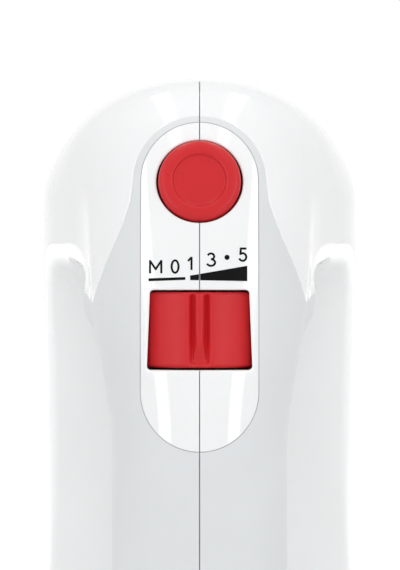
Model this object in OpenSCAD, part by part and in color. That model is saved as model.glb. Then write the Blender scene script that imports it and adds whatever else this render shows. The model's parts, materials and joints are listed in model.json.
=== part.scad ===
// Hand mixer, parked on its heel: Z runs from the heel to the nose and is the motor's axis, -Y is the
// grip's top, +Y is the underside where the beaters plug in, and X is across the two casing halves.

/* [Casing] */
// Height of the nose above the heel
nose_height = 198.6; // [196:0.2:202]
// Half of the casing's width at the motor
body_half_width = 42.5; // [41:0.5:44]
// Half of the grip's width where the hand holds it
grip_half_width = 21.4; // [21:0.1:22]
// How far the shoulders flare out in front of the grip
shoulder_flare = 5.5; // [4:0.5:7]
// Wall thickness of the two casing shells
wall = 2.4; // [2:0.1:2.6]
// Radius of the screws that join the shells
casing_screw_radius = 1.5; // [1.3:0.05:1.6]
// Number of vent slots in each flank
flank_vents = 7; // [7:1:9]
// Number of vent slots in each side of the underside
underside_vents = 4; // [4:1:5]

/* [Controls] */
// Diameter of the eject button
button_diameter = 20; // [18:0.5:21]
// How far the eject button is pressed
eject_travel = 6; // [4:0.5:6]
// Lean of the eject button's axis towards the heel
eject_lean = 12; // [11:0.5:13]
// Outer radius of the speed selector's drum
drum_radius = 20; // [19:0.25:20.25]
// Half of the angle that the drum's skin covers
drum_half_angle = 66; // [62:1:68]
// Radius of the axle that the drum turns on
drum_axle_radius = 2; // [1.5:0.1:2.2]

/* [Motor] */
// Radius of the armature's laminated core
rotor_radius = 15.5; // [14.5:0.1:15.8]
// Slots in the armature
rotor_slots = 12; // [9:1:14]
// Length of the laminated cores
core_length = 24; // [20:1:24]
// Radius of the motor shaft in its bearings
shaft_radius = 3; // [2.5:0.1:3.2]
// Radius of the cooling fan
fan_radius = 21; // [18:0.5:21.5]
// Blades on the cooling fan
fan_blades = 11; // [7:1:13]

/* [Gears and beaters] */
// Distance between the two beater shafts
beater_spacing = 35; // [35:0.2:35.4]
// Radius of a beater shaft
beater_shaft_radius = 3; // [2.8:0.1:3.2]
// Radius of a beater's cage
cage_radius = 24; // [20:0.5:25]
// How far the beaters reach below the motor's axis
beater_reach = 150; // [140:1:155]
// Width of a beater's wire strips
strip_width = 4.4; // [3:0.2:5]

/* [Hidden] */

// Radial running clearance between a shaft and its bore.
RUN = 0.06;
GEAR_Z = 157;
UNDERSIDE = 38;
GRIP_TOP = -103.5;
LOOP_TOP = -67.5;
LOOP_BOTTOM = -35;

// Side outline of the casing, as stations round it from the top of the grip over the nose, along the
// underside and up the heel. Each holds the outer point [z, y], the finger loop's point [z, y], and the
// rounding radius next to the loop and next to the outline. They are the points of closed cubic B-splines.
stations = [
    [60, GRIP_TOP, 60, LOOP_TOP, 18, 15],
    [100, GRIP_TOP - 0.5, 100, LOOP_TOP, 18, 15],
    [135, GRIP_TOP, 127, LOOP_TOP, 16, 20],
    [168, -100.8, 141, -65, 9, 24],
    [nose_height - 5, -91, 145, -58, 8, 30],
    [nose_height + 3, -61, 146, -51, 10, 34],
    [nose_height - 0.5, -20, 145, -44, 14, 36],
    [nose_height - 6, 16, 141, -37, 24, 31],
    [180, UNDERSIDE + 1, 127, LOOP_BOTTOM, 30, 28],
    [140, UNDERSIDE, 108, LOOP_BOTTOM, 32, 28],
    [95, UNDERSIDE, 85, LOOP_BOTTOM, 32, 28],
    [45, UNDERSIDE - 1.5, 55, LOOP_BOTTOM, 32, 28],
    [4, UNDERSIDE - 7, 36, -36, 30, 26],
    [-13, 10, 26, -42, 26, 24],
    [-14, -30, 24, -50, 22, 20],
    [-13, -76, 25, -59, 20, 17],
    [10, GRIP_TOP, 36, -67, 18, 16]
];
STATION_COUNT = len(stations);
STEPS_PER_STATION = 4;
RING_COUNT = STATION_COUNT * STEPS_PER_STATION;
BAND_COUNT = 12;
ROUNDING_POWER = 2.2;
HEEL_EDGE = 3;
HEEL_LEVEL = 0.6;
SEAM_GAP = 0.08;

function column(index, offset, field) = stations[(index + offset + STATION_COUNT) % STATION_COUNT][field];
function spline(t, field) =
    let (i = floor(t), f = t - i)
    (pow(1 - f, 3) * column(i, -1, field) + (3 * pow(f, 3) - 6 * f * f + 4) * column(i, 0, field)
        + (3 * f * f + 3 * f + 1 - 3 * pow(f, 3)) * column(i, 1, field) + pow(f, 3) * column(i, 2, field)) / 6;
function ease(u) = let (c = max(0, min(1, u))) c * c * (3 - 2 * c);
function rounding(u) = let (c = max(0, min(1, u))) pow(1 - pow(1 - c, ROUNDING_POWER), 1 / ROUNDING_POWER);
// Lifts whatever lies below a level up to it, with a soft edge.
function level_off(z, level) =
    z > level + HEEL_EDGE ? z
        : z < level - HEEL_EDGE ? level
        : level + pow(z - level + HEEL_EDGE, 2) / (4 * HEEL_EDGE);
function curve(t, field, inset) =
    let (
        before = [spline(t - 0.01 + STATION_COUNT, field), spline(t - 0.01 + STATION_COUNT, field + 1)],
        after = [spline(t + 0.01, field), spline(t + 0.01, field + 1)],
        along = (after - before) / norm(after - before)
    )
    [spline(t, field), spline(t, field + 1)] + inset * [-along[1], along[0]];
function grip_width(z) = grip_half_width + shoulder_flare * ease((z - 106) / 44);
function body_width(z) = body_half_width - 12 * (1 - ease((z + 12) / 70));
// The half width grows from the grip to the body. It swells at a knuckle where the finger loop starts and
// draws in just in front of that.
function half_width(z, y) =
    let (
        nose = ease((z - 165) / 30),
        start = -72 - 18 * ease((z - 110) / 50) - 14 * nose,
        end = -14 - 18 * nose,
        knuckle = 4 * exp(-pow((z - 138) / 5.8, 2) - pow((y + 68.5) / 6, 2)),
        hollow = 4.2 * exp(-pow((z - 148.5) / 4.5, 2) - pow((y + 53) / 12, 2))
    )
    grip_width(z) + (body_width(z) - grip_width(z)) * ease((y - start) / (end - start)) + knuckle - hollow;
function skin_point(t, s, inset) =
    let (
        outer = curve(t, 0, inset),
        loop = curve(t, 2, -inset),
        across = norm(outer - loop),
        p = loop + s * (outer - loop),
        x = (half_width(p[0], p[1]) - inset) * rounding(s * across / (spline(t, 4) - inset))
            * rounding((1 - s) * across / (spline(t, 5) - inset))
    )
    [x, p[1], level_off(p[0], inset + HEEL_LEVEL)];

// Half of the casing's solid, from x = -1 out to the skin, with the finger loop left open.
module half_solid(inset) {
    rows = BAND_COUNT + 3;
    points = [
        for (i = [0:RING_COUNT - 1], j = [0:rows - 1])
            let (
                s = 0.5 - 0.5 * cos(180 * max(0, min(BAND_COUNT, j - 1)) / BAND_COUNT),
                p = skin_point(i / STEPS_PER_STATION, s, inset)
            )
            j == 0 || j == rows - 1 ? [-1, p[1], p[2]] : p
    ];
    faces = [
        for (i = [0:RING_COUNT - 1], j = [0:rows - 1])
            let (
                a = i * rows + j,
                b = i * rows + (j + 1) % rows,
                c = ((i + 1) % RING_COUNT) * rows + (j + 1) % rows,
                d = ((i + 1) % RING_COUNT) * rows + j
            )
            each [[a, b, c], [a, c, d]]
    ];
    polyhedron(points, faces, convexity = 8);
}

EJECT_TOP_Y = -97.5;
EJECT_TOP_Z = 171.8;
CORD_Y = -96.5;
CORD_Z = 8.5;
CORD_ANGLE = 55;
DRUM_Y = -82.2;
DRUM_LOW = 127;
DRUM_HIGH = 144.8;
GEAR_X = beater_spacing / 2;
SCREW_POSTS = [[11, 16.5], [10, -62], [112, -76], [182, 13.5], [186, -36]];
POST_RADIUS = 4.2;
HEAD_SEAT = 8;
CORE_LOW = 44;
CORE_HIGH = CORE_LOW + core_length;
BOLT_X = 25;
COMMUTATOR_RADIUS = 8.5;
HUB_RADIUS = 7;
WORM_PITCH_RADIUS = 5;
GEAR_TEETH = 20;
GEAR_PITCH_RADIUS = GEAR_X - WORM_PITCH_RADIUS;
WORM_PITCH = 2 * PI * GEAR_PITCH_RADIUS / GEAR_TEETH;
LEAD_ANGLE = atan(WORM_PITCH / (2 * PI * WORM_PITCH_RADIUS));

// ---- Shared helpers ----
module y_cylinder(r, y0, y1, sides = 48) {
    translate([0, y1, 0]) rotate([90, 0, 0]) cylinder(h = y1 - y0, r = r, $fn = sides);
}
module x_cylinder(r, x0, x1, sides = 48) {
    translate([x0, 0, 0]) rotate([0, 90, 0]) cylinder(h = x1 - x0, r = r, $fn = sides);
}
module block(low, high) { translate(low) cube(high - low); }
module both_sides() {
    children();
    mirror([1, 0, 0]) children();
}
// Puts its children on the cord inlet's axis, with their Z pointing into the casing.
module on_cord_axis() {
    translate([0, CORD_Y, CORD_Z]) rotate([-CORD_ANGLE, 0, 0]) children();
}
// Puts its children on the eject button's axis, with their Z pointing out of the casing.
module on_eject_axis() {
    translate([0, EJECT_TOP_Y, EJECT_TOP_Z]) rotate([90 - eject_lean, 0, 0]) children();
}
// A round wire bent along a list of points.
module wire(points, r, sides) {
    for (i = [0:len(points) - 2]) {
        hull() {
            translate(points[i]) sphere(r, $fn = sides);
            translate(points[i + 1]) sphere(r, $fn = sides);
        }
    }
}
function coil_points(r, height, turns, steps) =
    [for (i = [0:turns * steps]) [r * cos(360 * i / steps), r * sin(360 * i / steps), height * i / (turns * steps)]];

// ---- Casing ----
module shell_openings() {
    on_eject_axis() translate([0, 0, -9]) cylinder(h = 30, r = button_diameter / 2 + 0.45, $fn = 72);
    translate([0, -95, 0]) rotate([90, 0, 0]) linear_extrude(30)
        polygon([[-12.6, 126.5], [12.6, 126.5], [11.9, 145.3], [-11.9, 145.3]]);
    translate([GEAR_X, 0, GEAR_Z]) y_cylinder(HUB_RADIUS + 0.8, 25, 60, 48);
    on_cord_axis() {
        translate([0, 0, -2]) cylinder(h = 14, r = 5.1, $fn = 40);
        translate([0, 0, -10]) cylinder(h = 9.65, r = 6.75, $fn = 40);
    }
    block([-30, -66.1, -1], [15.1, 10.1, 1.85]);
    for (i = [0:flank_vents - 1]) {
        hull() {
            translate([24, -2, 30 + 6 * i]) x_cylinder(1.1, 0, 30, 12);
            translate([24, 16 + i, 30 + 6 * i]) x_cylinder(1.1, 0, 30, 12);
        }
    }
    for (i = [0:underside_vents - 1]) {
        hull() {
            translate([8, 0, 30 + 7 * i]) y_cylinder(1.1, 26, 60, 12);
            translate([24, 0, 30 + 7 * i]) y_cylinder(1.1, 26, 60, 12);
        }
    }
}
// A ring rib that stiffens the body and locates what it carries.
module casing_rib(z, half_x, low_y, high_y) {
    intersection() {
        half_solid(1);
        difference() {
            block([0, -33.5, z - 1], [60, 60, z + 1]);
            block([-10, low_y, z - 2], [half_x, high_y, z + 2]);
        }
    }
}
module screw_post(post) {
    intersection() {
        half_solid(0.5);
        translate([0, post[1], post[0]]) x_cylinder(POST_RADIUS, 0, 60, 24);
    }
}
module shell() {
    difference() {
        union() {
            difference() {
                half_solid(0);
                half_solid(wall);
            }
            for (post = SCREW_POSTS) screw_post(post);
            casing_rib(16, 28.6, -40, 14);
            casing_rib(56, 28.6, -25, 25);
            casing_rib(100, 28.6, -14, 14);
        }
        shell_openings();
        translate([-50 + SEAM_GAP, 0, 100]) cube([100, 400, 400], center = true);
    }
}
// The right-hand shell takes the screws' threads.
module housing_right() {
    color("whitesmoke")
    difference() {
        shell();
        for (post = SCREW_POSTS) {
            translate([0, post[1], post[0]]) x_cylinder(casing_screw_radius + 0.05, -1, 13, 24);
        }
    }
}
// The left-hand shell takes the screws' heads, in counterbores that open through its skin.
module housing_left() {
    color("whitesmoke") mirror([1, 0, 0])
    difference() {
        shell();
        for (post = SCREW_POSTS) {
            translate([0, post[1], post[0]]) x_cylinder(casing_screw_radius + 0.3, -1, 60, 24);
            translate([0, post[1], post[0]]) x_cylinder(3.2, HEAD_SEAT, 60, 24);
        }
    }
}
module heel_pad() {
    color("dimgray")
    difference() {
        union() {
            block([-15, -61, 0], [15, 5, 1.8]);
            block([-10, -66, 0], [10, 10, 1.8]);
            for (x = [-10, 10], y = [-61, 5]) translate([x, y, 0]) cylinder(h = 1.8, r = 5, $fn = 48);
        }
        for (x = [-11, -4, 4, 11]) block([x - 0.4, -52, -1], [x + 0.4, -8, 0.5]);
    }
}
module housing_screws() {
    color("silver")
    for (post = SCREW_POSTS) {
        translate([-HEAD_SEAT, post[1], post[0]])
        difference() {
            union() {
                x_cylinder(casing_screw_radius, -0.5, HEAD_SEAT + 11.5, 32);
                x_cylinder(2.9, -2.2, 0, 32);
            }
            block([-3, -1.7, -0.35], [-1.2, 1.7, 0.35]);
            block([-3, -0.35, -1.7], [-1.2, 0.35, 1.7]);
        }
    }
}
module cord_inlet_bush() {
    color("dimgray")
    on_cord_axis()
    difference() {
        union() {
            translate([0, 0, -0.6]) cylinder(h = 12.6, r = 5, $fn = 48);
            translate([0, 0, -2.4]) cylinder(h = 2, r = 6.6, $fn = 48);
            translate([0, 0, 4.6]) cylinder(h = 1.6, r = 6.2, $fn = 48);
        }
        translate([0, 0, -12]) cylinder(h = 40, r = 3.4, $fn = 48);
    }
}
module terminal_block() {
    color("ivory")
    difference() {
        block([-11, -92, 28], [11, -82, 38]);
        for (x = [-7, 0, 7]) {
            translate([x, -87, 27]) cylinder(h = 12, r = 1.8, $fn = 24);
            translate([x, -90, 33]) y_cylinder(1.6, -4, 4, 24);
        }
    }
}

// ---- Eject mechanism ----
module eject_button() {
    color("firebrick")
    on_eject_axis()
    difference() {
        union() {
            cylinder(h = 2.2, r1 = button_diameter / 2, r2 = button_diameter / 2 - 0.8, $fn = 72);
            translate([0, 0, -7]) cylinder(h = 7, r = button_diameter / 2, $fn = 72);
        }
        translate([0, 0, -8]) cylinder(h = 6, r = button_diameter / 2 - 1.8, $fn = 72);
        translate([0, 0, 23]) sphere(21.9, $fn = 96);
    }
}
module eject_fork() {
    color("dimgray")
    union() {
        on_eject_axis() translate([0, 0, -70.6]) cylinder(h = 68.6, r = 3, $fn = 48);
        difference() {
            union() {
                block([-GEAR_X - 4.5, -26, 153.5], [GEAR_X + 4.5, -21.4, 161]);
                block([-6, -32, 153.5], [6, -21.4, 161]);
            }
            block([-12, -24, 156], [-7, -21, 158.5]);
        }
    }
}
// Plate between the shells that steers the eject rod and seats its spring.
module eject_guide() {
    color("ivory")
    on_eject_axis()
    difference() {
        union() {
            translate([0, 0, -29]) cylinder(h = 3, r = 13.5, $fn = 64);
            translate([0, 0, -36]) cylinder(h = 8, r = 5.5, $fn = 48);
        }
        translate([0, 0, -40]) cylinder(h = 20, r = 3 + RUN, $fn = 48);
    }
}
module eject_spring() {
    color("silver")
    on_eject_axis() translate([0, 0, -25.3])
    wire(coil_points(5, 21.8, 7, 12), 0.45, 6);
}
module eject_pin() {
    translate([GEAR_X, 0, GEAR_Z]) {
        y_cylinder(beater_shaft_radius - 0.1, -20, 2);
        y_cylinder(5, -21, -19);
    }
}
module eject_pin_right() { color("slategray") eject_pin(); }
module eject_pin_left() { color("slategray") mirror([1, 0, 0]) eject_pin(); }

// ---- Speed selector ----
module drum_sector(r, angle) {
    polygon([[0, 0], for (i = [0:12]) let (a = -angle + angle * i / 6) r * [sin(a), -cos(a)]]);
}
module speed_slider() {
    color("firebrick")
    translate([0, DRUM_Y, 0])
    difference() {
        union() {
            intersection() {
                difference() {
                    translate([0, 0, DRUM_LOW]) cylinder(h = DRUM_HIGH - DRUM_LOW, r = drum_radius, $fn = 120);
                    translate([0, 0, DRUM_LOW + 1.6])
                        cylinder(h = DRUM_HIGH - DRUM_LOW - 3.2, r = drum_radius - 2, $fn = 120);
                }
                translate([0, 0, DRUM_LOW - 1]) linear_extrude(DRUM_HIGH - DRUM_LOW + 2) drum_sector(80, drum_half_angle);
            }
            block([-1.9, -drum_radius - 1.9, DRUM_LOW + 0.6], [1.9, -drum_radius + 1, DRUM_HIGH - 0.6]);
            translate([0, 0, 124.4]) cylinder(h = 23, r = 4, $fn = 48);
        }
        translate([0, 0, 120]) cylinder(h = 40, r = drum_axle_radius + RUN, $fn = 48);
    }
}
module slider_axle() {
    color("silver") translate([0, DRUM_Y, 120.5]) cylinder(h = 31.2, r = drum_axle_radius, $fn = 48);
}
// Leaf that sweeps over the contacts as the drum turns.
module switch_wiper() {
    color("goldenrod")
    translate([0, DRUM_Y, 0]) {
        block([-1.5, 4, 131], [1.5, 4.6, 141]);
        block([-1.5, 4.6, 134.5], [1.5, 7.6, 137.5]);
    }
}
module switch_base() {
    color("ivory")
    difference() {
        union() {
            block([-10, -73.6, 120.6], [10, -71.8, 151.6]);
            for (z = [120.6, 148.6]) {
                block([-4.5, DRUM_Y, z], [4.5, -72, z + 3]);
                translate([0, DRUM_Y, z]) cylinder(h = 3, r = 4.5, $fn = 48);
            }
        }
        translate([0, DRUM_Y, 110]) cylinder(h = 50, r = drum_axle_radius, $fn = 48);
    }
}
module switch_contacts() {
    color("goldenrod") for (x = [-7, -3.5, 0, 3.5, 7]) block([x - 1.1, -74.2, 130], [x + 1.1, -73.6, 142]);
}
module speed_pcb() {
    color("seagreen")
    difference() {
        block([-13, -77, 44], [13, -75.4, 104]);
        for (x = [-10, 10], z = [47, 101]) translate([x, -76, z]) y_cylinder(1.4, -4, 4, 24);
        for (z = [86, 94]) translate([-6, -76, z]) y_cylinder(0.5, -4, 4, 12);
    }
}
module pcb_parts() {
    color("darkslategray") {
        for (z = [94, 86]) {
            translate([-6, 0, z]) y_cylinder(3.2, -88, -77, 32);
            translate([-6, 0, z]) y_cylinder(0.5, -77, -74.6, 12);
        }
        for (i = [0:4]) translate([7, -78.4, 82 + 4 * i]) x_cylinder(1.1, -3, 3, 20);
        block([-9, -80, 50], [-2, -77, 57]);
    }
}
module triac_heatsink() {
    color("silver") {
        block([-10, -80, 62], [10, -77, 78]);
        for (i = [0:6]) block([-10 + 3 * i, -88, 62], [-8.8 + 3 * i, -80, 78]);
        block([2, -79, 50], [8, -77, 60]);
    }
}
module suppression_capacitor() {
    color("goldenrod") {
        block([-9, -57, 5], [9, -44, 17]);
        for (x = [-6, 6]) translate([x, 0, 11]) y_cylinder(0.5, -44, -38, 12);
    }
}
module suppression_chokes() {
    color("sienna")
    both_sides() translate([13, 0, 11]) {
        y_cylinder(2.2, -42, -24, 32);
        for (i = [0:7]) y_cylinder(3.4, -39.6 + 1.8 * i, -38.2 + 1.8 * i, 32);
    }
}
// Insulated leads from the terminal block to the brush plate and the speed controller.
module motor_leads() {
    color("steelblue")
    both_sides() {
        translate([7, -87, 17]) cylinder(h = 10.9, r = 1.1, $fn = 20);
        translate([7, 0, 17]) y_cylinder(1.1, -87, -68, 20);
        translate([7, -68, 17]) rotate([0, 90, 0]) cylinder(h = 5, r = 1.1, $fn = 20);
        translate([12, 0, 17]) y_cylinder(1.1, -68, -17, 20);
        translate([12, -17, 17]) cylinder(h = 2.9, r = 1.1, $fn = 20);
        for (p = [[7, -87], [7, -68], [12, -68], [12, -17]]) translate([p[0], p[1], 17]) sphere(1.1, $fn = 20);
    }
}

// ---- Motor ----
module stator_core() {
    color("slategray")
    difference() {
        intersection() {
            block([-28, -24, CORE_LOW], [28, 24, CORE_HIGH]);
            translate([0, 0, CORE_LOW - 1]) cylinder(h = core_length + 2, r = 33, $fn = 96);
        }
        translate([0, 0, CORE_LOW - 1]) cylinder(h = core_length + 2, r = rotor_radius + 0.6, $fn = 96);
        for (sx = [-1, 1], sy = [-1, 1]) {
            translate([sx * 15, sy * 16.6, CORE_LOW + core_length / 2]) cube([14, 6.8, core_length + 2], center = true);
        }
        for (sx = [-1, 1]) translate([sx * BOLT_X, 0, CORE_LOW - 1]) cylinder(h = core_length + 2, r = 1.7, $fn = 32);
    }
}
module field_coils() {
    color("peru")
    both_sides() {
        for (sy = [-1, 1]) {
            translate([15.5, sy * 16.7, CORE_LOW + core_length / 2]) cube([11, 5, core_length + 9], center = true);
        }
        block([16.5, -19.2, CORE_HIGH + 0.3], [21, 19.2, CORE_HIGH + 4.5]);
        block([16.5, -19.2, CORE_LOW - 4.5], [21, 19.2, CORE_LOW - 0.3]);
    }
}
module rotor_core() {
    color("slategray")
    difference() {
        translate([0, 0, CORE_LOW]) cylinder(h = core_length, r = rotor_radius, $fn = 96);
        translate([0, 0, CORE_LOW - 1]) cylinder(h = core_length + 2, r = 4, $fn = 48);
        for (i = [0:rotor_slots - 1]) {
            rotate(360 * i / rotor_slots) block([8, -1.2, CORE_LOW - 1], [rotor_radius + 1, 1.2, CORE_HIGH + 1]);
        }
    }
}
module rotor_windings() {
    color("peru")
    union() {
        for (i = [0:rotor_slots - 1]) {
            rotate(360 * i / rotor_slots) block([8.4, -1, CORE_LOW - 2], [rotor_radius - 1, 1, CORE_HIGH + 2]);
        }
        for (z = [CORE_LOW - 5.3, CORE_HIGH + 0.3]) {
            translate([0, 0, z]) rotate_extrude($fn = 72)
                polygon([[4.6, 0], [12.6, 0], [13.8, 1.2], [13.8, 3.8], [12.6, 5], [4.6, 5]]);
        }
    }
}
module commutator() {
    color("darkgoldenrod")
    difference() {
        union() {
            translate([0, 0, 24]) cylinder(h = 11, r = COMMUTATOR_RADIUS, $fn = 96);
            translate([0, 0, 35]) cylinder(h = 2, r = COMMUTATOR_RADIUS + 1, $fn = 96);
        }
        translate([0, 0, 20]) cylinder(h = 20, r = 4, $fn = 48);
        for (i = [0:2 * rotor_slots - 1]) {
            rotate(180 * i / rotor_slots) block([COMMUTATOR_RADIUS - 0.7, -0.2, 23], [12, 0.2, 38]);
        }
    }
}
module motor_shaft() {
    color("silver")
    union() {
        translate([0, 0, 12]) cylinder(h = 11, r = shaft_radius, $fn = 48);
        translate([0, 0, 23]) cylinder(h = 70, r = 4, $fn = 48);
        translate([0, 0, 93]) cylinder(h = 44, r = shaft_radius, $fn = 48);
        translate([0, 0, 137]) cylinder(h = 43, r = 2, $fn = 48);
    }
}
// Right-hand worm that drives both gears.
module worm() {
    color("silver")
    union() {
        difference() {
            translate([0, 0, 143]) cylinder(h = 28, r = WORM_PITCH_RADIUS - 1.5, $fn = 36);
            translate([0, 0, 142]) cylinder(h = 30, r = 2.04, $fn = 36);
        }
        for (i = [-36:35]) hull() {
            worm_tooth(i);
            worm_tooth(i + 1);
        }
    }
}
module worm_tooth(step) {
    translate([0, 0, GEAR_Z + WORM_PITCH * step / 12]) rotate(30 * step) rotate([90, 0, 0]) linear_extrude(0.02)
        polygon([
            [WORM_PITCH_RADIUS - 1.8, -1], [WORM_PITCH_RADIUS + 1.2, -0.3],
            [WORM_PITCH_RADIUS + 1.2, 0.3], [WORM_PITCH_RADIUS - 1.8, 1]
        ]);
}
module fan() {
    color("whitesmoke")
    difference() {
        union() {
            translate([0, 0, 77]) cylinder(h = 12, r = 6.5, $fn = 48);
            translate([0, 0, 77]) cylinder(h = 1.6, r = fan_radius, $fn = 96);
            for (i = [0:fan_blades - 1]) {
                rotate(360 * i / fan_blades) translate([6, 0, 77]) rotate(18) block([0, -0.6, 0], [fan_radius - 7, 0.6, 10]);
            }
        }
        translate([0, 0, 70]) cylinder(h = 30, r = 4, $fn = 48);
    }
}
module bearing(z) {
    difference() {
        union() {
            translate([0, 0, z]) cylinder(h = 7, r = 5, $fn = 48);
            translate([0, 0, z + 2]) cylinder(h = 3, r = 6.5, $fn = 48);
        }
        translate([0, 0, z - 1]) cylinder(h = 9, r = shaft_radius + RUN, $fn = 48);
    }
}
module rear_bearing() { color("peru") bearing(13); }
module front_bearing() { color("peru") bearing(96); }
// Cross-arm with a bearing seat, and two legs that stand on the stator.
module bracket(z, leg_low, leg_high) {
    difference() {
        union() {
            block([-28, -7, z], [28, 7, z + 6]);
            translate([0, 0, z]) cylinder(h = 6, r = 12, $fn = 64);
            for (s = [-1, 1]) {
                translate([s * BOLT_X, 0, (leg_low + leg_high) / 2]) cube([5.6, 9, leg_high - leg_low], center = true);
            }
        }
        translate([0, 0, z - 1]) cylinder(h = 8, r = 5, $fn = 48);
        translate([0, 0, z + 1.4]) cylinder(h = 3.2, r = 6.5, $fn = 48);
        for (s = [-1, 1]) translate([s * BOLT_X, 0, 0]) cylinder(h = 120, r = 1.7, $fn = 32);
    }
}
module rear_bracket() { color("silver") bracket(13.5, 18, CORE_LOW); }
module front_bracket() { color("silver") bracket(96.5, CORE_HIGH, 98); }
module motor_bolts() {
    color("silver")
    for (s = [-1, 1]) translate([s * BOLT_X, 0, 0]) {
        translate([0, 0, 10]) cylinder(h = 96, r = 1.5, $fn = 32);
        translate([0, 0, 102.5]) cylinder(h = 2.6, r = 2.9, $fn = 6);
        translate([0, 0, 11.1]) cylinder(h = 2.4, r = 2.9, $fn = 32);
    }
}
module brush_plate() {
    color("saddlebrown")
    difference() {
        union() {
            translate([0, 0, 20]) cylinder(h = 2.4, r = 21.6, $fn = 96);
            for (s = [-1, 1]) translate([0, s * 16, 23.4]) cube([9, 10, 2.2], center = true);
        }
        translate([0, 0, 19]) cylinder(h = 6, r = 10.5, $fn = 64);
    }
}
module brush_holders() {
    color("goldenrod")
    for (turn = [0, 180]) rotate(turn)
    difference() {
        block([-3.8, 9.4, 24.5], [3.8, 21.5, 33.5]);
        block([-2.8, 9, 25.5], [2.8, 20.7, 32.5]);
    }
}
module carbon_brushes() {
    color("dimgray") for (turn = [0, 180]) rotate(turn) block([-2.7, COMMUTATOR_RADIUS + 0.05, 25.6], [2.7, 16, 32.4]);
}
module brush_springs() {
    color("silver")
    for (turn = [0, 180]) rotate(turn) translate([0, 16.35, 29]) rotate([-90, 0, 0])
        wire(coil_points(1.9, 4, 4, 8), 0.3, 5);
}

// ---- Gearbox ----
GEARBOX_SCREWS = [[30.4, 143.6], [30.4, 170.4], [-30.4, 143.6], [-30.4, 170.4]];
module gearbox_base() {
    color("ivory")
    difference() {
        union() {
            difference() {
                block([-33.2, 0, 138.6], [33.2, 12, 174.6]);
                block([-31.8, -1, 140.6], [31.8, 9, 173]);
            }
            for (p = GEARBOX_SCREWS) translate([p[0], 0, p[1]]) y_cylinder(3.1, 0, 10, 32);
        }
        for (s = [-1, 1]) translate([s * GEAR_X, 0, GEAR_Z]) y_cylinder(HUB_RADIUS + 2, 5, 20);
        for (p = GEARBOX_SCREWS) translate([p[0], 0, p[1]]) y_cylinder(1.25, -1, 9, 32);
        translate([0, 0, 130]) cylinder(h = 20, r = shaft_radius + 0.8, $fn = 48);
        translate([0, 0, 172]) cylinder(h = 9, r = 2 + RUN, $fn = 48);
    }
}
module gearbox_cover() {
    color("ivory")
    difference() {
        union() {
            difference() {
                block([-33.2, -13, 138.6], [33.2, 0, 174.6]);
                block([-31.8, -9.6, 140.6], [31.8, 1, 173]);
            }
            for (p = GEARBOX_SCREWS) translate([p[0], 0, p[1]]) y_cylinder(3.1, -10, 0, 32);
        }
        for (s = [-1, 1]) translate([s * GEAR_X, 0, GEAR_Z]) y_cylinder(6 + RUN, -20, -5);
        for (p = GEARBOX_SCREWS) translate([p[0], 0, p[1]]) y_cylinder(1.45, -20, 1, 32);
        translate([0, 0, 130]) cylinder(h = 20, r = shaft_radius + 0.8, $fn = 48);
        translate([0, 0, 172]) cylinder(h = 9, r = 2 + RUN, $fn = 48);
    }
}
module gearbox_screws() {
    color("silver")
    for (p = GEARBOX_SCREWS) translate([p[0], 0, p[1]])
    difference() {
        union() {
            y_cylinder(1.25, -14, 8.5, 32);
            y_cylinder(2.6, -15, -13, 32);
        }
        block([-1.6, -16, -0.3], [1.6, -14, 0.3]);
        block([-0.3, -16, -1.6], [0.3, -14, 1.6]);
    }
}
module hub_bushes() {
    color("peru")
    for (s = [-1, 1]) translate([s * GEAR_X, 0, GEAR_Z])
    difference() {
        y_cylinder(HUB_RADIUS + 2, 9, 14);
        y_cylinder(HUB_RADIUS + RUN, 8, 15);
    }
}
// Worm wheel with a hollow hub that carries a beater's shaft. Its first tooth is turned by the given angle.
module gear(first_tooth) {
    difference() {
        union() {
            y_cylinder(GEAR_PITCH_RADIUS - 1.6, -5, 5, 80);
            y_cylinder(6, -12, -5);
            y_cylinder(HUB_RADIUS, 5, 37.4);
            y_cylinder(9, 5, 8.8);
            for (i = [0:GEAR_TEETH - 1]) rotate([0, first_tooth + 360 * i / GEAR_TEETH, 0]) gear_tooth();
        }
        y_cylinder(beater_shaft_radius + RUN, -14, 40);
        for (a = [0, 90, 180, 270]) rotate([0, 45 + a, 0]) block([2, 30, -1], [4.6, 38, 1]);
    }
}
module gear_tooth() {
    translate([GEAR_PITCH_RADIUS, 0, 0]) rotate([-LEAD_ANGLE, 0, 0]) translate([0, 4.8, 0]) rotate([90, 0, 0])
        linear_extrude(9.6) polygon([[-2, -1.15], [1.2, -0.35], [1.2, 0.35], [-2, 1.15]]);
}
module gear_right() { color("whitesmoke") translate([GEAR_X, 0, GEAR_Z]) gear(180 + 180 / GEAR_TEETH); }
module gear_left() { color("whitesmoke") translate([-GEAR_X, 0, GEAR_Z]) gear(0); }

// ---- Beaters ----
// Each beater is turned about its own shaft, so that the two cages mesh.
module at_beater(side) {
    translate([side * GEAR_X, 0, GEAR_Z]) rotate([0, side > 0 ? 0 : 45, 0]) children();
}
CAGE_TOP = beater_reach - 86;
CAGE_BULGE = beater_reach - 36;
module beater_shaft(side) {
    at_beater(side)
    difference() {
        union() {
            y_cylinder(beater_shaft_radius, 2.2, CAGE_TOP + 8);
            y_cylinder(beater_shaft_radius + 1.6, CAGE_TOP - 4, CAGE_TOP + 6, 40);
        }
        shaft_groove(14);
    }
}
module shaft_groove(y) {
    translate([0, y, 0]) rotate([-90, 0, 0]) rotate_extrude($fn = 48)
        translate([beater_shaft_radius + 0.4, 0]) circle(0.9, $fn = 24);
}
module beater_collar(side) {
    at_beater(side)
    difference() {
        y_cylinder(8.4, 40, 43, 64);
        y_cylinder(beater_shaft_radius, 38, 45);
    }
}
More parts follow.
